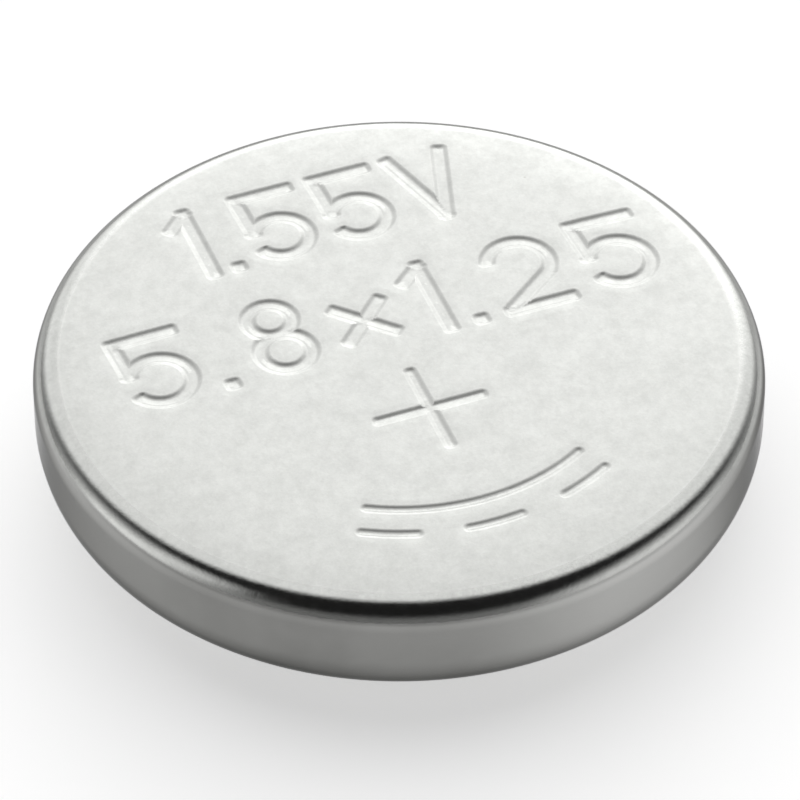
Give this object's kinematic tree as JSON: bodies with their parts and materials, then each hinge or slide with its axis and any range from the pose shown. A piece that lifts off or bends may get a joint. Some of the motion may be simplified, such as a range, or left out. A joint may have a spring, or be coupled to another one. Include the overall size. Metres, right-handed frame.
{
  "type": "silver oxide button cell",
  "caption": "Flat round button cell, crimped steel can over a stepped cap, positive face up, for watches and small electronics.",
  "frame": {"origin": "middle of the negative contact face, at the bottom of the cell", "axes": "+Z along the cell's axis, from the negative cap up through the positive face; +X along the base line of the marks on the positive face, left to right as they are read"},
  "size_m": [0.0058, 0.0058, 0.0012],
  "materials": {
    "can_plating": "satin nickel plate on steel",
    "cap_sheet": "satin nickel face of a clad sheet",
    "gasket_nylon": "moulded nylon, translucent cream",
    "silver_oxide": "pressed powder, dull black",
    "membrane_film": "film, dull off-white",
    "absorber_felt": "felt, off-white",
    "zinc_gel": "dense grey paste"
  },
  "bodies": {
    "root": {"positive_can": "can_plating", "negative_cap": "cap_sheet", "sealing_gasket": "gasket_nylon", "cathode_pellet": "silver_oxide", "barrier_membrane": "membrane_film", "absorber": "absorber_felt", "zinc_anode": "zinc_gel"}
  },
  "joints": []
}
